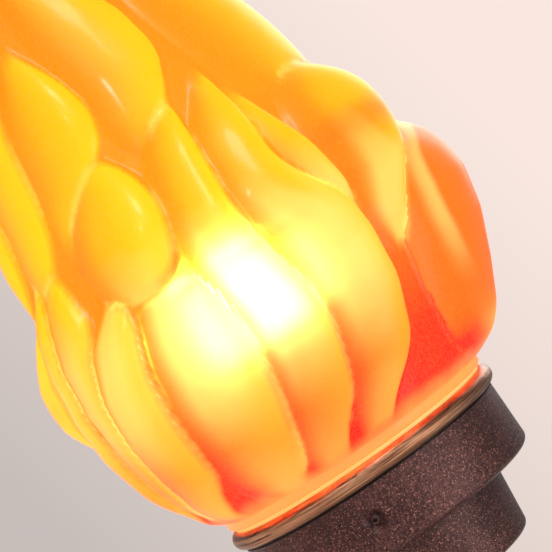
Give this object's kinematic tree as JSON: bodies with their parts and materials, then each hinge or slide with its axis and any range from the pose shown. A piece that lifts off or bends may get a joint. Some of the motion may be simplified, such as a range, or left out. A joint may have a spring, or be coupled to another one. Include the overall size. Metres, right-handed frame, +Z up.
{
  "type": "torch wall sconce",
  "caption": "Wall light shaped as a leaning torch: a painted frosted glass flame on a stepped brown metal head, held by a short arm on a round wall plate.",
  "frame": {"origin": "centre of the wall plate's back, on the wall's face", "axes": "+Y into the wall, +Z up, +X level; the torch leans out towards -Y"},
  "size_m": [0.1466, 0.3316, 0.4403],
  "materials": {
    "brown": "fine sparkling coffee-brown powder coat",
    "aged_brass": "brushed and darkened",
    "brass": "bright drawn brass",
    "zinc": "zinc plated",
    "nickel": "nickel plated",
    "silicone": "matt",
    "ceramic": "white steatite",
    "holder_black": "moulded",
    "white_plastic": "moulded",
    "diffuser": "opal, lit",
    "board_green": "solder mask",
    "board_white": "white coated",
    "nylon": "natural nylon",
    "flame_glass": "frosted and painted, lit from inside",
    "lead_brown": "sleeved",
    "lead_blue": "sleeved",
    "lead_green": "sleeved"
  },
  "bodies": {
    "bracket": {"lip_ring": "aged_brass", "head_cup": "brown", "stepped_collar": "brown", "neck_collar": "brown", "glass_gasket": "silicone", "handle_tube": "brown", "handle_plug": "zinc", "neck_bead": "aged_brass", "tail_bead": "aged_brass", "tail_finial": "brown", "threaded_nipple": "zinc", "nipple_washer": "zinc", "nipple_nut": "zinc", "holder_cap": "holder_black", "holder_sleeve": "holder_black", "holder_insert": "ceramic", "screw_shell": "brass", "centre_contact": "brass", "holder_posts": "brass", "wall_plate": "brown", "crossbar": "zinc", "plate_studs": "zinc", "cap_nuts": "aged_brass", "earth_screw": "brass", "terminal_block": "white_plastic", "terminal_screws": "zinc", "block_screw": "zinc", "arm_tube": "brown", "arm_rosette": "brown", "arm_washer": "zinc", "arm_nut": "zinc", "torch_clamp": "brown", "clamp_screw": "zinc", "neutral_lead": "lead_blue", "live_lead": "lead_brown", "earth_lead": "lead_green"},
    "lamp_foot": {"lamp_tip": "nickel", "lamp_insulator": "holder_black"},
    "lamp": {"lamp_cap": "nickel", "lamp_housing": "white_plastic", "lamp_diffuser": "diffuser", "light_board": "board_white", "driver_board": "board_green"},
    "shade": {"glass_flame": "flame_glass"},
    "pad_1": {"screw_pad_1": "nylon"},
    "screw_1": {"glass_screw_1": "brown"},
    "pad_2": {"screw_pad_2": "nylon"},
    "screw_2": {"glass_screw_2": "brown"},
    "pad_3": {"screw_pad_3": "nylon"},
    "screw_3": {"glass_screw_3": "brown"}
  },
  "joints": [
    {"name": "shade_lift", "type": "slide", "parent": "bracket", "child": "shade", "axis": [0, -0.5664, 0.8241], "range_m": [0, 0.12]},
    {"name": "lamp_rise", "type": "slide", "parent": "bracket", "child": "lamp_foot", "axis": [0, -0.5664, 0.8241], "range_m": [0, 0.01109]},
    {"name": "lamp_turn", "type": "hinge", "parent": "lamp_foot", "child": "lamp", "pos_m": [0, -0.17779, 0.12774], "axis": [0, -0.5664, 0.8241], "range_deg": [0, 1080]},
    {"name": "pad_slide_1", "type": "slide", "parent": "bracket", "child": "pad_1", "axis": [0.9893, -0.1204, -0.0827], "range_m": [0, 0.0028]},
    {"name": "screw_turn_1", "type": "hinge", "parent": "pad_1", "child": "screw_1", "pos_m": [0, -0.17026, 0.11678], "axis": [0.9893, -0.1204, -0.0827], "range_deg": [0, 1441]},
    {"name": "pad_slide_2", "type": "slide", "parent": "bracket", "child": "pad_2", "axis": [-0.3681, 0.7663, 0.5266], "range_m": [0, 0.0028]},
    {"name": "screw_turn_2", "type": "hinge", "parent": "pad_2", "child": "screw_2", "pos_m": [0, -0.17026, 0.11678], "axis": [-0.3681, 0.7663, 0.5266], "range_deg": [0, 1441]},
    {"name": "pad_slide_3", "type": "slide", "parent": "bracket", "child": "pad_3", "axis": [-0.6211, -0.6459, -0.4439], "range_m": [0, 0.0028]},
    {"name": "screw_turn_3", "type": "hinge", "parent": "pad_3", "child": "screw_3", "pos_m": [0, -0.17026, 0.11678], "axis": [-0.6211, -0.6459, -0.4439], "range_deg": [0, 1441]}
  ],
  "couplings": [
    {"joint": "lamp_rise", "follows": "lamp_turn", "m_per_rad": 0.00057757},
    {"joint": "screw_turn_1", "follows": "pad_slide_1", "rad_per_m": 8976},
    {"joint": "screw_turn_2", "follows": "pad_slide_2", "rad_per_m": 8976},
    {"joint": "screw_turn_3", "follows": "pad_slide_3", "rad_per_m": 8976}
  ]
}
